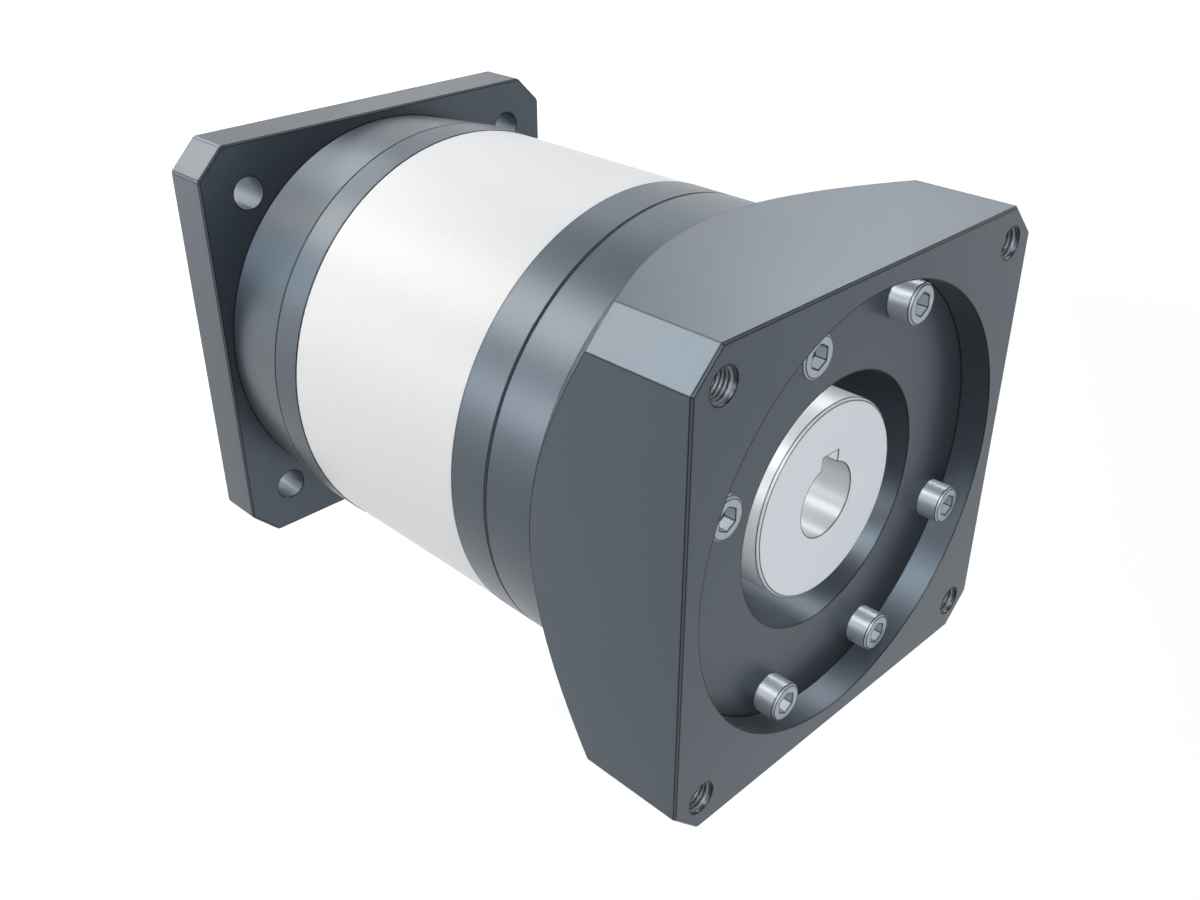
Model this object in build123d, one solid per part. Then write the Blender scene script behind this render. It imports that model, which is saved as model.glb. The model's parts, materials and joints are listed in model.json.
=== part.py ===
from build123d import *
import os
from math import acos, cos, pi, radians, sin, tan

# Planetary gear reducer, in millimetres.
# The origin is the centre of the output flange's mounting face, on the axis.
# +X runs along the axis to the motor side and +Z is up.

# Output flange and its pilot
flange_width = 120.0
flange_corner = 8.0
flange_thickness = 14.5
edge_break = 0.5
pilot_radius = 55.0
pilot_length = 5.0
pilot_chamfer = 1.0
flange_hole_circle = 65.0
flange_hole_radius = 4.5

# Round part of the housing
boss_taper = 2.5
boss_length = 25.0
body_inset = 0.2
band_length = 9.8
witness_groove_width = 0.3
witness_groove_depth = 0.25
ring_body_inset = 0.2
ring_body_length = 64.2
plate_length = 12.0
seam_chamfer = 0.4
spigot_length = 4.0

# Motor adapter
adapter_length = 60.0
adapter_neck = 15.0
adapter_cone_angle = 47.6
motor_pilot_radius = 55.0
motor_pilot_depth = 8.0
adapter_bore_radius = 32.0
motor_bolt_circle = 72.5
motor_thread_radius = 4.0
motor_thread_depth = 20.0

# Tie bolts, six of them on eight equal places
tie_bolt_circle = 49.0
tie_bolt_divisions = 8
tie_bolt_places = (1, 2, 3, 5, 6, 7)
tie_bolt_first_angle = 22.5
tie_bolt_radius = 3.0
tie_bolt_hole_radius = 3.3
tie_bolt_head_radius = 5.0
tie_bolt_head_height = 6.0
tie_bolt_head_chamfer = 0.5
tie_bolt_hex_width = 5.0
tie_bolt_hex_depth = 3.0
tie_bolt_engagement = 11.8
tie_bolt_hole_spare = 3.0

# Clearances, and how far a cut runs past the face that it opens
seat_gap = 0.05
running_gap = 0.08
axial_gap = 0.3
run_out = 1.0

# Output shaft
shaft_radius = 16.0
shaft_length = 58.0
shaft_chamfer = 1.5
shaft_collar = 2.0
journal_radius = 20.0
shaft_shoulder_radius = 24.5
key_width = 10.0
key_height = 8.0
key_depth = 5.0
key_length = 36.0
key_setback = 4.0
centre_thread_radius = 6.0
centre_thread_depth = 28.0
centre_mouth_radius = 7.5

# Output bearings, both the same
bearing_outer_radius = 34.0
bearing_width = 15.0
bearing_race_radius = 24.0
bearing_start = 6.5
spacer_length = 11.0
spacer_wall = 3.5
circlip_thickness = 2.0
circlip_groove_depth = 1.25
circlip_width = 4.0
circlip_opening = 30.0

# Output seal
seal_outer_radius = 31.0
seal_width = 8.0
seal_lip_share = 1 / 3

# Input bearing, seal and hub
input_journal_radius = 20.0
input_bearing_outer_radius = 31.0
input_bearing_width = 12.0
input_race_radius = 23.5
input_shoulder = 1.5
input_seal_radius = 27.5
input_seal_width = 7.0
hub_seal_radius = 21.0
hub_radius = 25.0
hub_face_setback = 1.1
hub_chamfer = 0.6
hub_bore_radius = 9.5
hub_bore_depth = 50.0
hub_keyway_width = 6.0
hub_keyway_depth = 2.8
hub_circlip_thickness = 1.75

# Gears
module = 1.5
pressure_angle = 20.0
sun_teeth = 18
planet_teeth = 18
ring_teeth = sun_teeth + 2 * planet_teeth
planet_count = 3
first_planet_angle = 90.0
backlash = 0.12
addendum = 1.0
dedendum = 1.25
ring_addendum = 0.8
flank_steps = 2

# Planet carrier
cheek_radius = 37.0
front_cheek = 10.5
rear_cheek = 7.5
carrier_front_space = 1.2
carrier_rear_space = 2.0
planet_pin_radius = 6.0
bush_wall = 2.0
bush_proud = 0.4
post_radius = 8.0
post_circle = 27.5
cheek_bore_clearance = 1.5
carrier_screw_radius = 2.5
carrier_screw_head_radius = 4.25
carrier_screw_head_height = 5.0
carrier_screw_hex_width = 4.0
carrier_screw_hex_depth = 2.5
carrier_screw_depth = 14.0
sun_neck_radius = 11.0
sun_plug_radius = 8.0
sun_plug_length = 14.0

# Radii of the round bodies, just inside the flange's flats
body_radius = flange_width / 2 - body_inset
ring_body_radius = body_radius - ring_body_inset
boss_radius = body_radius - boss_taper

# Places along the axis, worked out from the sizes above
boss_end = flange_thickness + boss_length
housing_end = boss_end + band_length
ring_end = housing_end + ring_body_length
plate_end = ring_end + plate_length
motor_face = plate_end + adapter_length
recess_floor = motor_face - motor_pilot_depth
front_bearing_end = bearing_start + bearing_width
rear_bearing_start = front_bearing_end + spacer_length
rear_bearing_end = rear_bearing_start + bearing_width
housing_spigot_end = housing_end + spigot_length
plate_spigot_start = ring_end - spigot_length
cheek_start = housing_spigot_end + carrier_front_space
cheek_end = cheek_start + front_cheek
rear_cheek_end = plate_spigot_start - carrier_rear_space
rear_cheek_start = rear_cheek_end - rear_cheek
planet_zone = rear_cheek_start - cheek_end
input_bearing_end = plate_end - input_shoulder
input_bearing_start = input_bearing_end - input_bearing_width
input_seal_start = plate_end - input_shoulder + axial_gap
input_seal_end = input_seal_start + input_seal_width
plate_nose_end = input_seal_end + axial_gap
hub_start = input_bearing_start - hub_circlip_thickness - 2 * axial_gap
hub_shoulder = plate_nose_end + axial_gap
hub_face = recess_floor - hub_face_setback

# Gear radii, worked out from the module and the tooth counts
sun_pitch_radius = module * sun_teeth / 2
planet_pitch_radius = module * planet_teeth / 2
ring_pitch_radius = module * ring_teeth / 2
planet_circle = sun_pitch_radius + planet_pitch_radius
ring_tip_radius = ring_pitch_radius - ring_addendum * module
spigot_radius = ring_tip_radius - 2 * seat_gap
planet_angles = [first_planet_angle + i * 360 / planet_count for i in range(planet_count)]
post_angles = [angle + 180 / planet_count for angle in planet_angles]
tie_bolt_angles = [tie_bolt_first_angle + place * 360 / tie_bolt_divisions for place in tie_bolt_places]


def on_circle(radius, angle):
    """The (y, z) place at a radius from the axis, with the angle measured from +Y to +Z."""
    return radius * cos(radians(angle)), radius * sin(radians(angle))


def square_places(circle_radius):
    """The four corner places of a square bolt pattern on this circle."""
    return [on_circle(circle_radius, 45 + 90 * i) for i in range(4)]


def turned(*outline):
    """A solid turned about the X axis from an outline of (x, radius) points."""
    return revolve(make_face(Polyline(*outline, close=True)), axis=Axis.X)


def turned_ring(start, end, outer_radius, inner_radius):
    """A plain ring between two places on the axis."""
    return turned((start, inner_radius), (start, outer_radius), (end, outer_radius), (end, inner_radius))


def bar(start, end, radius, place=(0, 0)):
    """A round bar along X at a (y, z) place."""
    length_up = (Align.CENTER, Align.CENTER, Align.MIN)
    return Plane.YZ.offset(start) * Pos(*place) * Cylinder(radius, end - start, align=length_up)


def bars(start, end, radius, places):
    """Equal round bars along X at several places."""
    return [bar(start, end, radius, place) for place in places]


def square_block(start, end):
    """The square flange outline with its cut corners, as a block along X."""
    outline = Rectangle(flange_width, flange_width)
    outline = chamfer(outline.vertices(), flange_corner)
    return extrude(Plane.YZ.offset(start) * outline, end - start)


def involute(angle):
    return tan(angle) - angle


def gear_outline(teeth, low_radius, high_radius, thickness, first_angle):
    """The closed outline of a gear with involute flanks, each drawn in short straight steps.

    The thickness is a tooth's width on the pitch circle. For an internal gear the outline is
    that of its spaces, which have the shape of teeth.
    """
    pitch_radius = module * teeth / 2
    base_radius = pitch_radius * cos(radians(pressure_angle))
    start = max(low_radius, base_radius)
    radii = [start + (high_radius - start) * i / flank_steps for i in range(flank_steps + 1)]
    if low_radius < base_radius:
        radii.insert(0, low_radius)
    at_base = thickness / (2 * pitch_radius) + involute(radians(pressure_angle))
    flank = []
    for radius in radii:
        unrolled = acos(min(1.0, base_radius / radius))
        flank.append((radius, at_base - involute(unrolled)))
    points = []
    for tooth in range(teeth):
        centre = radians(first_angle) + 2 * pi * tooth / teeth
        points += [(r * cos(centre - half), r * sin(centre - half)) for r, half in flank]
        points += [(r * cos(centre + half), r * sin(centre + half)) for r, half in reversed(flank)]
    return make_face(Polyline(*points, close=True))


def external_gear(teeth, start, end, first_angle):
    """A toothed wheel on the X axis with one tooth's centre at the first angle."""
    pitch_radius = module * teeth / 2
    low = pitch_radius - dedendum * module
    high = pitch_radius + addendum * module
    tooth = (pi * module - backlash) / 2
    outline = gear_outline(teeth, low, high, tooth, first_angle)
    return extrude(Plane.YZ.offset(start) * outline, end - start)


def circlip(start, thickness, inner_radius, outer_radius, opening_angle):
    """An open spring ring, with its opening at the bottom."""
    ring = turned_ring(start, start + thickness, outer_radius, inner_radius)
    reach = 2 * outer_radius
    half = radians(opening_angle / 2)
    side = reach * sin(half)
    wedge = make_face(Polyline((0, 0), (side, -reach), (-side, -reach), close=True))
    return ring - extrude(Plane.YZ.offset(start - run_out) * wedge, thickness + 2 * run_out)


def socket_screw(head_seat, tip, radius, head, hex_size, place, head_chamfer=0.0):
    """A socket head screw along X whose head stands towards +X from its seat."""
    head_radius, head_height = head
    hex_width, hex_depth = hex_size
    top = head_seat + head_height
    outline = [(tip, 0), (tip, radius), (head_seat, radius), (head_seat, head_radius)]
    outline += [(top - head_chamfer, head_radius)]
    if head_chamfer:
        outline += [(top, head_radius - head_chamfer)]
    outline += [(top, 0)]
    socket = RegularPolygon(hex_width / 2, 6, major_radius=False, rotation=30)
    screw = turned(*outline) - extrude(Plane.YZ.offset(top - hex_depth) * socket, hex_depth)
    return Pos(0, *place) * screw


def make_output_housing():
    flange = square_block(0, flange_thickness)
    flange = chamfer(flange.edges(), edge_break)
    middle = flange_thickness / 2
    pilot = turned(
        (-pilot_length, 0),
        (-pilot_length, pilot_radius - pilot_chamfer),
        (-pilot_length + pilot_chamfer, pilot_radius),
        (middle, pilot_radius),
        (middle, 0),
    )
    boss = turned(
        (middle, 0),
        (middle, boss_radius),
        (flange_thickness, boss_radius),
        (boss_end - witness_groove_width / 2, body_radius),
        (boss_end, body_radius - witness_groove_depth),
        (boss_end + witness_groove_width / 2, body_radius),
        (housing_end, body_radius),
        (housing_end, spigot_radius),
        (housing_spigot_end, spigot_radius),
        (housing_spigot_end, 0),
    )
    bore_radius = bearing_outer_radius + seat_gap
    groove_start = rear_bearing_end + seat_gap
    groove_end = groove_start + circlip_thickness + 2 * seat_gap
    groove_radius = bore_radius + circlip_groove_depth
    bore = turned(
        (-pilot_length - run_out, 0),
        (-pilot_length - run_out, seal_outer_radius + seat_gap),
        (bearing_start, seal_outer_radius + seat_gap),
        (bearing_start, bore_radius),
        (groove_start, bore_radius),
        (groove_start, groove_radius),
        (groove_end, groove_radius),
        (groove_end, bore_radius),
        (housing_spigot_end + run_out, bore_radius),
        (housing_spigot_end + run_out, 0),
    )
    corners = square_places(flange_hole_circle)
    flange_holes = bars(-run_out, flange_thickness + run_out, flange_hole_radius, corners)
    bolt_places = [on_circle(tie_bolt_circle, angle) for angle in tie_bolt_angles]
    thread_end = housing_end - tie_bolt_engagement - tie_bolt_hole_spare
    bolt_holes = bars(thread_end, housing_end + run_out, tie_bolt_radius + seat_gap, bolt_places)
    return flange + pilot + boss - bore - flange_holes - bolt_holes


def make_ring_gear_housing():
    space = (pi * module + backlash) / 2
    root_radius = ring_pitch_radius + dedendum * module
    teeth = gear_outline(ring_teeth, ring_tip_radius, root_radius, space, first_planet_angle)
    section = Circle(ring_body_radius) - teeth
    for angle in tie_bolt_angles:
        section -= Pos(*on_circle(tie_bolt_circle, angle)) * Circle(tie_bolt_hole_radius)
    return extrude(Plane.YZ.offset(housing_end) * section, ring_body_length)


def make_input_bearing_plate():
    bearing_bore = input_bearing_outer_radius + seat_gap
    seal_bore = input_seal_radius + seat_gap
    nose_radius = adapter_bore_radius - seat_gap
    plate = turned(
        (plate_spigot_start, bearing_bore),
        (plate_spigot_start, spigot_radius),
        (ring_end, spigot_radius),
        (ring_end, body_radius),
        (plate_end - seam_chamfer, body_radius),
        (plate_end, body_radius - seam_chamfer),
        (plate_end, nose_radius),
        (plate_nose_end, nose_radius),
        (plate_nose_end, seal_bore),
        (input_bearing_end, seal_bore),
        (input_bearing_end, bearing_bore),
    )
    bolt_places = [on_circle(tie_bolt_circle, angle) for angle in tie_bolt_angles]
    return plate - bars(ring_end - run_out, plate_end + run_out, tie_bolt_hole_radius, bolt_places)


def make_motor_adapter():
    block = square_block(plate_end, motor_face)
    block = chamfer(block.faces().sort_by(Axis.X)[-1].edges(), edge_break)
    neck_end = plate_end + adapter_neck
    cone_rise = (motor_face - neck_end) * tan(radians(adapter_cone_angle))
    envelope = turned(
        (plate_end, 0),
        (plate_end, body_radius - seam_chamfer),
        (plate_end + seam_chamfer, body_radius),
        (neck_end, body_radius),
        (motor_face, body_radius + cone_rise),
        (motor_face, 0),
    )
    recess = bar(recess_floor, motor_face + run_out, motor_pilot_radius)
    opening = bar(plate_end - run_out, motor_face, adapter_bore_radius)
    bolt_places = [on_circle(tie_bolt_circle, angle) for angle in tie_bolt_angles]
    bolt_holes = bars(plate_end - run_out, recess_floor + run_out, tie_bolt_hole_radius, bolt_places)
    thread_start = motor_face - motor_thread_depth
    corners = square_places(motor_bolt_circle)
    threads = bars(thread_start, motor_face + run_out, motor_thread_radius, corners)
    return (block & envelope) - recess - opening - bolt_holes - threads


def make_tie_bolts():
    head = (tie_bolt_head_radius, tie_bolt_head_height)
    hex_size = (tie_bolt_hex_width, tie_bolt_hex_depth)
    tip = housing_end - tie_bolt_engagement
    bolts = []
    for angle in tie_bolt_angles:
        place = on_circle(tie_bolt_circle, angle)
        bolts.append(
            socket_screw(recess_floor, tip, tie_bolt_radius, head, hex_size, place, tie_bolt_head_chamfer)
        )
    return bolts


def make_output_shaft():
    """The output shaft, in one piece with the carrier's front cheek and its three posts."""
    journal_start = -pilot_length - shaft_collar
    shaft_start = journal_start - shaft_length
    groove_end = bearing_start - seat_gap
    groove_start = groove_end - circlip_thickness - 2 * seat_gap
    groove_radius = journal_radius - circlip_groove_depth
    shaft = turned(
        (shaft_start, 0),
        (shaft_start, shaft_radius - shaft_chamfer),
        (shaft_start + shaft_chamfer, shaft_radius),
        (journal_start, shaft_radius),
        (journal_start, journal_radius),
        (groove_start, journal_radius),
        (groove_start, groove_radius),
        (groove_end, groove_radius),
        (groove_end, journal_radius),
        (rear_bearing_end, journal_radius),
        (rear_bearing_end, shaft_shoulder_radius),
        (cheek_start, shaft_shoulder_radius),
        (cheek_start, cheek_radius),
        (cheek_end, cheek_radius),
        (cheek_end, 0),
    )
    post_places = [on_circle(post_circle, angle) for angle in post_angles]
    shaft += bars(cheek_end, rear_cheek_start, post_radius, post_places)
    pin_places = [on_circle(planet_circle, angle) for angle in planet_angles]
    pin_holes = bars(cheek_start, cheek_end + run_out, planet_pin_radius + seat_gap, pin_places)
    screw_start = rear_cheek_start - carrier_screw_depth
    screw_hole_radius = carrier_screw_radius + seat_gap
    screw_holes = bars(screw_start - run_out, rear_cheek_start + run_out, screw_hole_radius, post_places)
    mouth_depth = centre_mouth_radius - centre_thread_radius
    thread_end = shaft_start + centre_thread_depth
    centre_hole = turned(
        (shaft_start - run_out, 0),
        (shaft_start - run_out, centre_mouth_radius + run_out),
        (shaft_start + mouth_depth, centre_thread_radius),
        (thread_end, centre_thread_radius),
        (thread_end + centre_thread_radius / 2, 0),
    )
    return shaft - pin_holes - screw_holes - centre_hole - key_slot()


def key_middle():
    """The place of the key's middle along the axis. The key starts a little way from the collar."""
    return -pilot_length - shaft_collar - key_setback - key_length / 2


def key_blank(length, width, bottom, top):
    """A round-ended key along X between two heights above the axis."""
    outline = SlotOverall(length, width)
    return extrude(Plane.XY.offset(bottom) * Pos(key_middle(), 0) * outline, top - bottom)


def key_slot():
    length = key_length + 2 * seat_gap
    width = key_width + 2 * seat_gap
    return key_blank(length, width, shaft_radius - key_depth, shaft_radius + run_out)


def make_shaft_key():
    bottom = shaft_radius - key_depth
    return key_blank(key_length, key_width, bottom, bottom + key_height)


def make_carrier_plate():
    sun_passage = sun_pitch_radius + addendum * module + cheek_bore_clearance
    plate = turned_ring(rear_cheek_start, rear_cheek_end, cheek_radius, sun_passage)
    pin_places = [on_circle(planet_circle, angle) for angle in planet_angles]
    post_places = [on_circle(post_circle, angle) for angle in post_angles]
    cut_start = rear_cheek_start - run_out
    cut_end = rear_cheek_end + run_out
    plate -= bars(cut_start, cut_end, planet_pin_radius + seat_gap, pin_places)
    plate -= bars(cut_start, cut_end, carrier_screw_radius + seat_gap, post_places)
    counterbore_start = rear_cheek_end - carrier_screw_head_height
    head_hole = carrier_screw_head_radius + axial_gap
    return plate - bars(counterbore_start, cut_end, head_hole, post_places)


def make_carrier_screws():
    head = (carrier_screw_head_radius, carrier_screw_head_height)
    hex_size = (carrier_screw_hex_width, carrier_screw_hex_depth)
    seat = rear_cheek_end - carrier_screw_head_height
    tip = rear_cheek_start - carrier_screw_depth
    places = [on_circle(post_circle, angle) for angle in post_angles]
    return [socket_screw(seat, tip, carrier_screw_radius, head, hex_size, place) for place in places]


def make_planet_pins():
    places = [on_circle(planet_circle, angle) for angle in planet_angles]
    return bars(cheek_start, rear_cheek_end, planet_pin_radius, places)


def make_planet_gear(angle):
    bush_radius = planet_pin_radius + bush_wall
    width = planet_zone - 2 * (bush_proud + axial_gap)
    start = cheek_end + bush_proud + axial_gap
    gear = external_gear(planet_teeth, start, start + width, angle)
    gear -= bar(start - run_out, start + width + run_out, bush_radius + seat_gap)
    return Pos(0, *on_circle(planet_circle, angle)) * gear


def make_planet_bush(angle):
    start = cheek_end + axial_gap
    end = rear_cheek_start - axial_gap
    outer = planet_pin_radius + bush_wall
    bush = turned_ring(start, end, outer, planet_pin_radius + running_gap)
    return Pos(0, *on_circle(planet_circle, angle)) * bush


def make_sun_gear():
    teeth_start = cheek_end + axial_gap
    teeth_end = rear_cheek_start
    half_pitch = 180 / sun_teeth
    gear = external_gear(sun_teeth, teeth_start, teeth_end, first_planet_angle + half_pitch)
    neck = bar(teeth_end, hub_start, sun_neck_radius)
    plug = bar(hub_start, hub_start + sun_plug_length, sun_plug_radius)
    return gear + neck + plug


def make_input_hub():
    groove_end = input_bearing_start - seat_gap
    groove_start = groove_end - hub_circlip_thickness - 2 * seat_gap
    groove_radius = input_journal_radius - circlip_groove_depth
    hub = turned(
        (hub_start, 0),
        (hub_start, groove_radius),
        (groove_end, groove_radius),
        (groove_end, input_journal_radius),
        (input_bearing_end, input_journal_radius),
        (input_bearing_end, hub_seal_radius),
        (hub_shoulder, hub_seal_radius),
        (hub_shoulder, hub_radius),
        (hub_face - hub_chamfer, hub_radius),
        (hub_face, hub_radius - hub_chamfer),
        (hub_face, 0),
    )
    bore_start = hub_face - hub_bore_depth
    bore = bar(bore_start, hub_face + run_out, hub_bore_radius)
    height = hub_bore_radius + hub_keyway_depth
    section = Plane.YZ.offset(bore_start) * Pos(0, height / 2) * Rectangle(hub_keyway_width, height)
    keyway = extrude(section, hub_bore_depth + run_out)
    socket_end = hub_start + sun_plug_length + seat_gap
    socket = bar(hub_start - run_out, socket_end, sun_plug_radius + seat_gap)
    return hub - bore - keyway - socket


def make_bearing(start, width, outer_radius, race_radius, bore_radius):
    """A shielded ball bearing as its two rings. The outer one holds the closed ball space."""
    inner = turned_ring(start, start + width, race_radius, bore_radius + seat_gap)
    outer = turned_ring(start, start + width, outer_radius, race_radius + running_gap)
    return inner, outer


def make_seal(start, width, outer_radius, journal):
    """A radial shaft seal: a stiff ring with a lip that reaches to the journal."""
    end = start + width
    lip = width * seal_lip_share
    stiff_inner = (outer_radius + journal) / 2
    return turned(
        (start, stiff_inner),
        (start, outer_radius),
        (end, outer_radius),
        (end, journal + running_gap),
        (end - lip, journal + running_gap),
        (end - lip, stiff_inner),
    )


def make_parts():
    front_inner, front_outer = make_bearing(
        bearing_start, bearing_width, bearing_outer_radius, bearing_race_radius, journal_radius
    )
    rear_inner, rear_outer = make_bearing(
        rear_bearing_start, bearing_width, bearing_outer_radius, bearing_race_radius, journal_radius
    )
    input_inner, input_outer = make_bearing(
        input_bearing_start,
        input_bearing_width,
        input_bearing_outer_radius,
        input_race_radius,
        input_journal_radius,
    )
    spacer_inner = journal_radius + seat_gap
    outer_spacer_inner = bearing_outer_radius - spacer_wall
    seal_start = -pilot_length + 2 * axial_gap
    shaft_clip_start = bearing_start - seat_gap - circlip_thickness - seat_gap
    shaft_clip_inner = journal_radius - circlip_groove_depth + seat_gap
    housing_clip_start = rear_bearing_end + 2 * seat_gap
    housing_clip_outer = bearing_outer_radius + circlip_groove_depth
    hub_clip_start = input_bearing_start - seat_gap - hub_circlip_thickness - seat_gap
    hub_clip_inner = input_journal_radius - circlip_groove_depth + seat_gap
    parts = {
        "output_housing": make_output_housing(),
        "ring_gear_housing": make_ring_gear_housing(),
        "input_bearing_plate": make_input_bearing_plate(),
        "motor_adapter": make_motor_adapter(),
        "tie_bolts": make_tie_bolts(),
        "output_shaft": make_output_shaft(),
        "carrier_plate": make_carrier_plate(),
        "carrier_screws": make_carrier_screws(),
        "planet_pins": make_planet_pins(),
        "shaft_key": make_shaft_key(),
        "sun_gear": make_sun_gear(),
        "input_hub": make_input_hub(),
        "front_bearing_inner_ring": front_inner,
        "front_bearing_outer_ring": front_outer,
        "rear_bearing_inner_ring": rear_inner,
        "rear_bearing_outer_ring": rear_outer,
        "inner_spacer": turned_ring(
            front_bearing_end, rear_bearing_start, spacer_inner + spacer_wall, spacer_inner
        ),
        "outer_spacer": turned_ring(
            front_bearing_end, rear_bearing_start, bearing_outer_radius, outer_spacer_inner
        ),
        "output_seal": make_seal(seal_start, seal_width, seal_outer_radius, journal_radius),
        "shaft_circlip": circlip(
            shaft_clip_start,
            circlip_thickness,
            shaft_clip_inner,
            shaft_clip_inner + circlip_width,
            circlip_opening,
        ),
        "housing_circlip": circlip(
            housing_clip_start,
            circlip_thickness,
            housing_clip_outer - circlip_width,
            housing_clip_outer,
            circlip_opening,
        ),
        "input_bearing_inner_ring": input_inner,
        "input_bearing_outer_ring": input_outer,
        "input_seal": make_seal(input_seal_start, input_seal_width, input_seal_radius, hub_seal_radius),
        "hub_circlip": circlip(
            hub_clip_start,
            hub_circlip_thickness,
            hub_clip_inner,
            hub_clip_inner + circlip_width,
            circlip_opening,
        ),
    }
    for number, angle in enumerate(planet_angles, start=1):
        parts[f"planet_gear_{number}"] = make_planet_gear(angle)
        parts[f"planet_bush_{number}"] = make_planet_bush(angle)
    return parts


def write_parts():
    os.makedirs("parts", exist_ok=True)
    for name, shape in make_parts().items():
        if isinstance(shape, list):
            shape = Compound(children=shape)
        export_step(shape, f"parts/{name}.step")


write_parts()
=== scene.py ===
import json
import math

import bmesh
import bpy
from mathutils import Matrix, Vector


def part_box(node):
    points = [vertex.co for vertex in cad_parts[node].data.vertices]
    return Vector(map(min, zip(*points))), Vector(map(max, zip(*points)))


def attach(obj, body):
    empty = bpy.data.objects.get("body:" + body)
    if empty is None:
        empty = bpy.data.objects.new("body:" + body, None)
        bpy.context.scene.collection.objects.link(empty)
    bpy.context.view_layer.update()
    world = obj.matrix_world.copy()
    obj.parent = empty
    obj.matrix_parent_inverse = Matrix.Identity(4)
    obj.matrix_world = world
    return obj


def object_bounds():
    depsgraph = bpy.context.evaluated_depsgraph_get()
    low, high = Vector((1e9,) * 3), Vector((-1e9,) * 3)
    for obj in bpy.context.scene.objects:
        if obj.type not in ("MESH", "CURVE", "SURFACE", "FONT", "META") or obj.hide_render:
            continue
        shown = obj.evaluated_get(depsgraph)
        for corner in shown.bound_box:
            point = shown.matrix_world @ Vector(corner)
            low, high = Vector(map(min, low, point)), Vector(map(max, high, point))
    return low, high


# Planetary gear reducer seen from the motor side. Sizes are in metres, and MM is one millimetre.
MM = 0.001

# Camera, at the photograph's viewing angle
CAMERA_AIM = Vector((102.5, 0.0, -16.85)) * MM
CAMERA_AZIMUTH = math.radians(45.0)
CAMERA_ELEVATION = math.radians(30.0)
CAMERA_DISTANCE = 341.0 * MM
CAMERA_LENS = 37.31
SENSOR_WIDTH = 36.0
CLIP_START = 0.01
CLIP_END = 50

# Floor and sky. The glow that the camera and the metal see rises from FLOOR_GLOW near the part, at the
# distance FLOOR_LIT, to full white at the distance FLOOR_WHITE, where the lamps no longer reach.
FLOOR_SIZE = 14.0
FLOOR_PLACE = (0.1, 0)
FLOOR_COLOUR = (0.64, 0.64, 0.64, 1)
FLOOR_ROUGHNESS = 0.9
FLOOR_GLOW = 0.50
FLOOR_LIT = 0.30
FLOOR_WHITE = 1.0
SKY_COLOUR = (0.90, 0.95, 1.0, 1)
SKY_STRENGTH = 0.06
WHITE = (1, 1, 1, 1)

# Lamps, which all face LAMP_AIM. The photograph shades each face by its direction and shows no shadows,
# so only the SHADOWED ones cast any.
LAMP_AIM = Vector((0.09, 0, 0))
ALONG_X = (1.0, 0.0, 0.0)
ALONG_Y = (0.0, 1.0, 0.0)
LAMPS = {
    # name: place, direction of its long side, length, width, watts, colour
    "key": ((-0.68, -0.46, 0.75), (0.64, -0.41, 0.64), 0.90, 0.50, 6.6, (1.0, 0.91, 0.82)),
    "back": ((-0.64, 0.86, 0.41), (0.74, 0.62, 0.28), 1.00, 0.50, 0.4, (0.96, 0.97, 1.0)),
    "back top": ((-0.30, 0.78, 0.72), ALONG_X, 0.40, 0.40, 2.3, (0.95, 0.98, 1.0)),
    "far": ((-0.90, 0.10, 0.60), ALONG_X, 0.40, 0.40, 1.6, (0.95, 0.97, 1.0)),
    "far top": ((-0.70, 0.50, 0.80), ALONG_X, 0.40, 0.40, 0.8, (0.82, 0.90, 1.0)),
    "far left": ((-1.00, -0.60, 0.30), ALONG_X, 0.40, 0.40, 1.2, (0.72, 0.86, 1.0)),
    "left": ((-0.60, -1.00, 0.30), ALONG_X, 0.40, 0.40, 3.4, (1.0, 0.97, 0.98)),
    "front": ((-0.27, -0.65, 0.84), ALONG_X, 0.40, 0.40, 2.6, (0.78, 0.90, 1.0)),
    "motor side": ((1.30, -0.20, 0.30), ALONG_Y, 0.80, 0.80, 7.4, (0.90, 0.96, 1.0)),
    "right": ((0.10, 1.15, 0.30), ALONG_X, 0.60, 0.60, 1.0, (0.95, 0.98, 1.0)),
}
SHADOWED = ("motor side",)

# Screw threads, which the solids leave plain. Lengths are in millimetres. The ridge's foot and tip are
# half widths, as shares of the pitch, and THREAD_LEAST is the height that it fades to at its ends.
MOTOR_THREAD = {"radius": 4.0, "pitch": 1.0, "depth": 0.54, "length": 19.0}
MOTOR_THREAD_CIRCLE = 72.5
SHAFT_THREAD = {"radius": 6.0, "pitch": 1.75, "depth": 0.9, "length": 24.0}
SHAFT_THREAD_START = 1.5
THREAD_STEPS = 40
THREAD_CLEARANCE = 0.02
THREAD_FOOT = 0.47
THREAD_TIP = 0.07
THREAD_LEAST = 0.02

# Dark lines along sharp edges, and how far the rounded normal turns where a line starts and is full
EDGE_WIDTH = 0.50 * MM
EDGE_SAMPLES = 8
EDGE_TURN = (0.002, 0.006)
EDGE_COLOUR = (0.006, 0.007, 0.008, 1)

# Textures, in units per metre, and what they do to colour, roughness and relief
CLOUD_SCALE = 18.0
LATHE_SCALE = 3000.0
NOISE_SPAN = (0.3, 0.7)
SPECK_SPAN = (0.94, 1.06)
ROUGHNESS_DRIFT = 0.05
RELIEF_DEPTH = 0.02 * MM

# Painted shade inside the hub's bore: its colour is darkened out to this reach from the axis, with a short
# blend
BORE_REACH = 9.6 * MM
BORE_BLEND = 0.1 * MM
BORE_PAINTED_SHADE = 0.66

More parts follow.
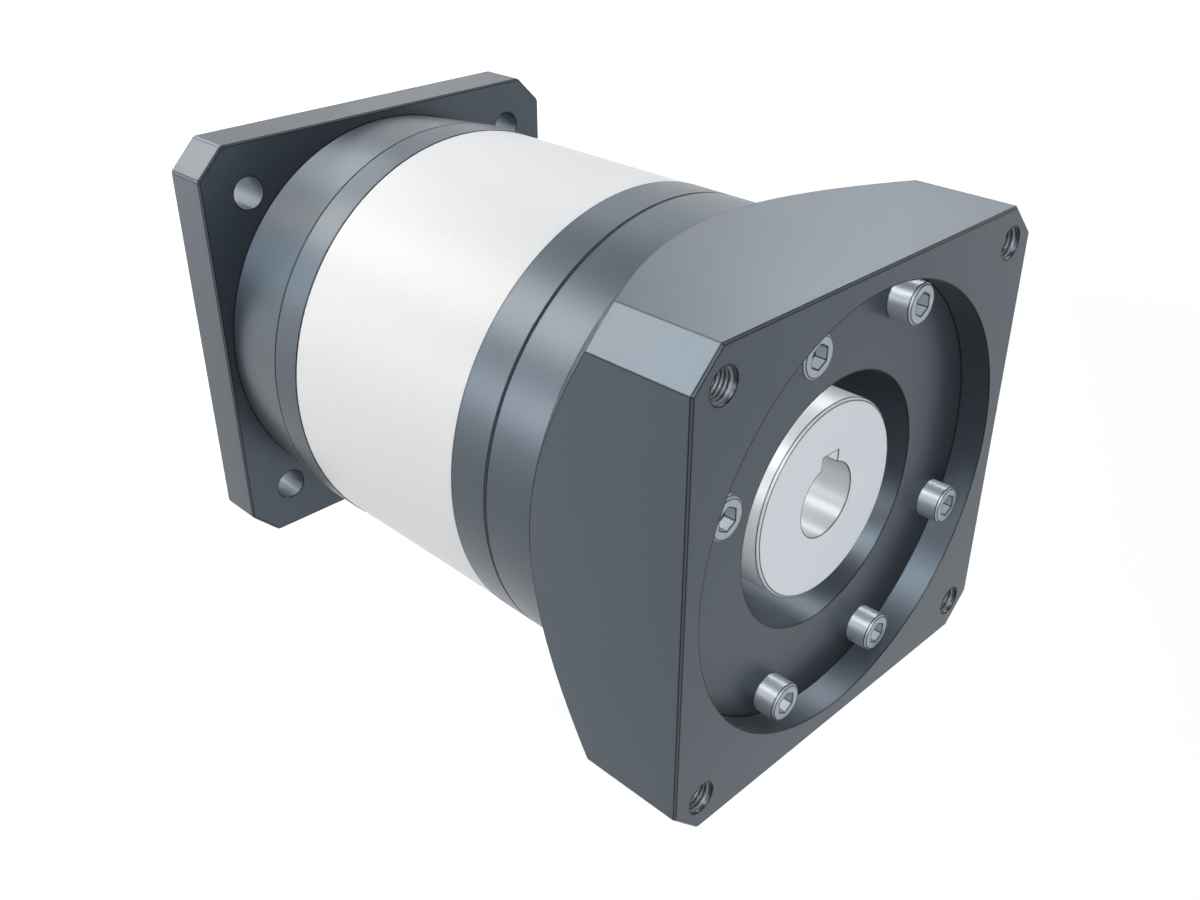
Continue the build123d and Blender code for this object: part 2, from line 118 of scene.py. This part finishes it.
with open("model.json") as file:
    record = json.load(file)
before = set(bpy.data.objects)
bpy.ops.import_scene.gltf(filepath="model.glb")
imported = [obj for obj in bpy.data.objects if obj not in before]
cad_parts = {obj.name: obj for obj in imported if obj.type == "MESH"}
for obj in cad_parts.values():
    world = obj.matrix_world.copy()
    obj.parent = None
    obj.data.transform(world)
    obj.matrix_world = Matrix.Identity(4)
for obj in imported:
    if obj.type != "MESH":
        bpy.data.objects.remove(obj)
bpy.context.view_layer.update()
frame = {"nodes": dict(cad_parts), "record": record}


def node_adder(tree):
    """A helper that adds a shader node to the tree, with each input linked to a socket or set."""
    def add(kind, inputs=(), **settings):
        node = tree.nodes.new("ShaderNode" + kind)
        for key, value in settings.items():
            setattr(node, key, value)
        for key, value in dict(inputs).items():
            if isinstance(value, bpy.types.NodeSocket):
                tree.links.new(value, node.inputs[key])
            else:
                node.inputs[key].default_value = value
        return node

    return add


def material(name):
    """A new material with its shader and helpers that add a linked node and that link two sockets."""
    made = bpy.data.materials.new(name)
    made.use_nodes = True
    tree = made.node_tree
    return made, tree.nodes["Principled BSDF"], node_adder(tree), tree.links.new


def sees_white(add):
    """One for rays that see the background as white, which are those of the camera, metal and glass."""
    ray = add("LightPath").outputs
    seen = ray["Is Camera Ray"]
    for kind in ("Is Glossy Ray", "Is Transmission Ray"):
        seen = add("Math", {0: seen, 1: ray[kind]}, operation="MAXIMUM").outputs["Value"]
    return seen


def map_range(add, value, source, target=(0.0, 1.0)):
    """The value, moved from the source span to the target span and kept inside it."""
    spans = {"From Min": source[0], "From Max": source[1], "To Min": target[0], "To Max": target[1]}
    return add("MapRange", {"Value": value, **spans}).outputs["Result"]


def edge_mask(add):
    """One along a sharp edge and zero elsewhere, from how far the rounded normal leaves the true one."""
    rounded = add("Bevel", {"Radius": EDGE_WIDTH}, samples=EDGE_SAMPLES).outputs["Normal"]
    true = add("NewGeometry").outputs["True Normal"]
    dot = add("VectorMath", {0: rounded, 1: true}, operation="DOT_PRODUCT").outputs["Value"]
    turn = add("Math", {0: 1.0, 1: dot}, operation="SUBTRACT").outputs["Value"]
    return map_range(add, turn, EDGE_TURN)


def axis_distance(add, place):
    """How far a place is along the gear axis, and how far out from it."""
    parts = add("SeparateXYZ", {"Vector": place})
    flat = add("CombineXYZ", {"X": 0.0, "Y": parts.outputs["Y"], "Z": parts.outputs["Z"]})
    radius = add("VectorMath", {0: flat.outputs["Vector"]}, operation="LENGTH")
    return parts.outputs["X"], radius.outputs["Value"]


def turned_marks(add, place):
    """Fine lathe marks round the gear axis: a noise of the place along the axis and the radius."""
    station, radius = axis_distance(add, place)
    along = add("Math", {0: station, 1: LATHE_SCALE}, operation="MULTIPLY").outputs["Value"]
    out = add("Math", {0: radius, 1: LATHE_SCALE}, operation="MULTIPLY").outputs["Value"]
    vector = add("CombineXYZ", {"X": along, "Y": out, "Z": 0.0}).outputs["Vector"]
    return add("TexNoise", {"Vector": vector, "Scale": 1.0, "Detail": 3.0}).outputs["Fac"]


def finish(name, colour, drift, roughness, metallic, grain, marks=0.0, bump=0.1, edge=0.92, bore=False):
    """A finish made of a base colour that drifts a little, fine grain, lathe marks and dark edges.

    The drift is the two shares between which the colour moves, grain is the size of the fine texture
    in units per metre, marks and edge are the shares of the lathe marks and of the dark lines, and
    bore paints shade inside the hub's bore by darkening its colour there.
    """
    made, shader, add, link = material(name)
    place = add("TexCoord").outputs["Object"]
    cloud = add("TexNoise", {"Vector": place, "Scale": CLOUD_SCALE, "Detail": 4.0, "Roughness": 0.55})
    fine = add("TexNoise", {"Vector": place, "Scale": grain, "Detail": 3.0, "Roughness": 0.6}).outputs["Fac"]

    cloudy = add("Mix", {"Factor": cloud.outputs["Fac"]}, data_type="RGBA")
    for side, share in zip("AB", drift):
        cloudy.inputs[side].default_value = [min(1.0, c * share) for c in colour] + [1]
    speck = map_range(add, fine, NOISE_SPAN, SPECK_SPAN)
    # Painted shade: the colour inside the hub's bore is darkened.
    if bore:
        station, radius = axis_distance(add, place)
        painted_shade = map_range(add, radius, (BORE_REACH, BORE_REACH + BORE_BLEND), (BORE_PAINTED_SHADE, 1.0))
        speck = add("Math", {0: speck, 1: painted_shade}, operation="MULTIPLY").outputs["Value"]
    tinted = add("VectorMath", {0: cloudy.outputs["Result"]}, operation="SCALE")
    link(speck, tinted.inputs["Scale"])

    line = edge_mask(add)
    lined = add("Mix", data_type="RGBA")
    cover = add("Math", {0: line, 1: edge}, operation="MULTIPLY")
    link(cover.outputs["Value"], lined.inputs["Factor"])
    link(tinted.outputs["Vector"], lined.inputs["A"])
    lined.inputs["B"].default_value = EDGE_COLOUR
    link(lined.outputs["Result"], shader.inputs["Base Color"])
    link(map_range(add, line, (0.0, 1.0), (metallic, max(metallic, edge))), shader.inputs["Metallic"])

    height = fine
    if marks:
        lathe = turned_marks(add, place)
        height = add("Mix", {"Factor": marks, "A": fine, "B": lathe}, data_type="FLOAT").outputs["Result"]
    rough = (roughness - ROUGHNESS_DRIFT, roughness + ROUGHNESS_DRIFT)
    link(map_range(add, height, NOISE_SPAN, rough), shader.inputs["Roughness"])
    relief = add("Bump", {"Height": height, "Strength": bump, "Distance": RELIEF_DEPTH})
    link(relief.outputs["Normal"], shader.inputs["Normal"])
    return made


def make_finishes():
    """One finish for each material slot of the record, and one for the tapped holes of the motor side."""
    slate = (0.074, 0.090, 0.107)
    cut = (0.22, 0.24, 0.26)
    white = (0.80, 0.805, 0.81)
    bright = (0.76, 0.785, 0.81)
    ground = (0.56, 0.58, 0.60)
    zinc = (0.36, 0.395, 0.43)
    hardened = (0.36, 0.37, 0.39)
    polished = (0.60, 0.62, 0.64)
    black = (0.09, 0.09, 0.10)
    bronze = (0.55, 0.36, 0.16)
    rubber = (0.020, 0.020, 0.022)
    return {
        "dark_housing": finish("slate_anodised", slate, (0.94, 1.06), 0.36, 0.78, 2600.0),
        "tapped": finish("tapped_aluminium", cut, (0.95, 1.05), 0.40, 0.6, 2600.0, edge=0.6),
        "white_housing": finish("white_enamel", white, (0.995, 1.005), 0.40, 0.0, 3000.0, bump=0.02),
        # The hub's finish paints shade inside its bore.
        "hub_steel": finish("bright_steel", bright, (0.97, 1.03), 0.36, 0.15, 2200.0, 0.7, 0.12, bore=True),
        "shaft_steel": finish("ground_steel", ground, (0.97, 1.03), 0.32, 0.7, 2200.0, 0.8, 0.06),
        "screw_steel": finish("zinc_steel", zinc, (0.94, 1.05), 0.40, 0.55, 2400.0, bump=0.12),
        "gear_steel": finish("hardened_steel", hardened, (0.93, 1.05), 0.36, 0.8, 2400.0, bump=0.12),
        "bearing_steel": finish("bearing_steel", polished, (0.97, 1.03), 0.22, 0.9, 2400.0, 0.8, 0.08),
        "spring_steel": finish("spring_steel", black, (0.92, 1.06), 0.38, 0.6, 2400.0, bump=0.12),
        "bush_bronze": finish("bronze", bronze, (0.93, 1.06), 0.34, 0.8, 2400.0, 0.6, 0.12),
        "seal_rubber": finish("black_rubber", rubber, (0.9, 1.1), 0.62, 0.0, 3000.0, bump=0.25, edge=0.3),
    }


def dress_nodes(finishes):
    slots = {row["node"]: row["material_slot"] for row in frame["record"]["subparts"]}
    for name, piece in frame["nodes"].items():
        for slot in piece.material_slots:
            slot.material = finishes[slots[name]]


def thread_piece(name, thread, mouth, place, inward):
    """The ridge of an inside thread: a helix of triangular section in a plain bore along X.

    It starts at the mouth and runs inward, which is -1 or 1 along X. The ridge fades in and out over
    half a turn at each end.
    """
    radius = thread["radius"] - THREAD_CLEARANCE
    turns = thread["length"] / thread["pitch"]
    steps = int(turns * THREAD_STEPS)
    foot = THREAD_FOOT * thread["pitch"]
    flat = THREAD_TIP * thread["pitch"]
    mesh = bmesh.new()
    rings = []
    for step in range(steps + 1):
        angle = 2 * math.pi * step / THREAD_STEPS
        along = thread["pitch"] * step / THREAD_STEPS + foot
        fade = min(1.0, 2 * step / THREAD_STEPS, 2 * (steps - step) / THREAD_STEPS)
        fade = max(fade, THREAD_LEAST)
        tip = radius - thread["depth"] * fade
        section = [(-foot * fade, radius), (-flat * fade, tip), (flat * fade, tip), (foot * fade, radius)]
        ring = []
        for offset, r in section:
            x = mouth + inward * (along + offset) * MM
            y = place[0] + r * MM * math.cos(angle)
            z = place[1] + r * MM * math.sin(angle)
            ring.append(mesh.verts.new((x, y, z)))
        rings.append(ring)
    for a, b in zip(rings, rings[1:]):
        for i in range(4):
            j = (i + 1) % 4
            mesh.faces.new((a[i], a[j], b[j], b[i]))
    mesh.faces.new(rings[0])
    mesh.faces.new(reversed(rings[-1]))
    bmesh.ops.recalc_face_normals(mesh, faces=mesh.faces)
    data = bpy.data.meshes.new(name)
    mesh.to_mesh(data)
    mesh.free()
    piece = bpy.data.objects.new(name, data)
    bpy.context.collection.objects.link(piece)
    for face in data.polygons:
        face.use_smooth = False
    return piece


def make_threads(finishes):
    """The ridges in the four tapped holes of the motor side and in the shaft's end."""
    low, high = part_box("motor_adapter")
    circle = MOTOR_THREAD_CIRCLE * MM
    for number in range(4):
        angle = math.radians(45 + 90 * number)
        place = (circle * math.cos(angle), circle * math.sin(angle))
        piece = thread_piece(f"motor_thread_{number + 1}", MOTOR_THREAD, high[0], place, -1)
        piece.data.materials.append(finishes["tapped"])
        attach(piece, "housing")
    low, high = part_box("output_shaft")
    mouth = low[0] + SHAFT_THREAD_START * MM
    piece = thread_piece("shaft_end_thread", SHAFT_THREAD, mouth, (0.0, 0.0), 1)
    piece.data.materials.append(finishes["shaft_steel"])
    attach(piece, "output_carrier")


def make_floor():
    """A pale floor under the flanges, which shows white wherever the object's shadow leaves it."""
    low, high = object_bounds()
    bpy.ops.mesh.primitive_plane_add(size=FLOOR_SIZE, location=(*FLOOR_PLACE, low[2]))
    floor = bpy.context.object
    floor.name = "floor"
    made, shader, add, link = material("floor_white")
    shader.inputs["Base Color"].default_value = FLOOR_COLOUR
    shader.inputs["Roughness"].default_value = FLOOR_ROUGHNESS
    shader.inputs["Specular IOR Level"].default_value = 0.0
    away = add("VectorMath", {0: add("TexCoord").outputs["Object"]}, operation="LENGTH").outputs["Value"]
    level = map_range(add, away, (FLOOR_LIT, FLOOR_WHITE), (FLOOR_GLOW, 1.0))
    glow = add("Math", {0: sees_white(add), 1: level}, operation="MULTIPLY")
    shader.inputs["Emission Color"].default_value = WHITE
    link(glow.outputs["Value"], shader.inputs["Emission Strength"])
    floor.data.materials.append(made)


def make_world():
    """A dim sky that the camera, metal and glass see as plain white."""
    world = bpy.data.worlds.new("studio")
    bpy.context.scene.world = world
    world.use_nodes = True
    tree = world.node_tree
    add = node_adder(tree)
    sky = tree.nodes["Background"]
    sky.inputs["Color"].default_value = SKY_COLOUR
    sky.inputs["Strength"].default_value = SKY_STRENGTH
    white = add("Background", {"Color": WHITE, "Strength": 1.0})
    mix = add("MixShader", {0: sees_white(add), 1: sky.outputs[0], 2: white.outputs[0]})
    tree.links.new(mix.outputs[0], tree.nodes["World Output"].inputs["Surface"])


def make_lamps():
    """Soft lamps that all face the part. Lamps without shadows work on metal only when sampled as lamps."""
    for name, (place, along, length, width, watts, colour) in LAMPS.items():
        lamp = bpy.data.lights.new(name, "AREA")
        lamp.shape = "ELLIPSE"
        lamp.size = length
        lamp.size_y = width
        lamp.energy = watts
        lamp.color = colour
        lamp.use_shadow = name in SHADOWED
        lamp.cycles.use_multiple_importance_sampling = False
        back = (Vector(place) - LAMP_AIM).normalized()
        side = Vector(along) - back * back.dot(Vector(along))
        side.normalize()
        up = back.cross(side)
        stand = bpy.data.objects.new(name, lamp)
        bpy.context.collection.objects.link(stand)
        turn = Matrix((side, up, back)).transposed()
        stand.matrix_world = Matrix.Translation(place) @ turn.to_4x4()


def make_camera():
    across = math.cos(CAMERA_ELEVATION)
    east = math.sin(CAMERA_AZIMUTH) * across
    north = -math.cos(CAMERA_AZIMUTH) * across
    back = Vector((east, north, math.sin(CAMERA_ELEVATION)))
    data = bpy.data.cameras.new("camera")
    data.lens = CAMERA_LENS
    data.sensor_width = SENSOR_WIDTH
    data.clip_start = CLIP_START
    data.clip_end = CLIP_END
    camera = bpy.data.objects.new("camera", data)
    bpy.context.collection.objects.link(camera)
    camera.location = CAMERA_AIM + back * CAMERA_DISTANCE
    camera.rotation_euler = (-back).to_track_quat("-Z", "Y").to_euler()
    bpy.context.scene.camera = camera


bpy.context.scene.view_settings.view_transform = "Standard"
finishes = make_finishes()
dress_nodes(finishes)
make_threads(finishes)
make_floor()
make_world()
make_lamps()
make_camera()
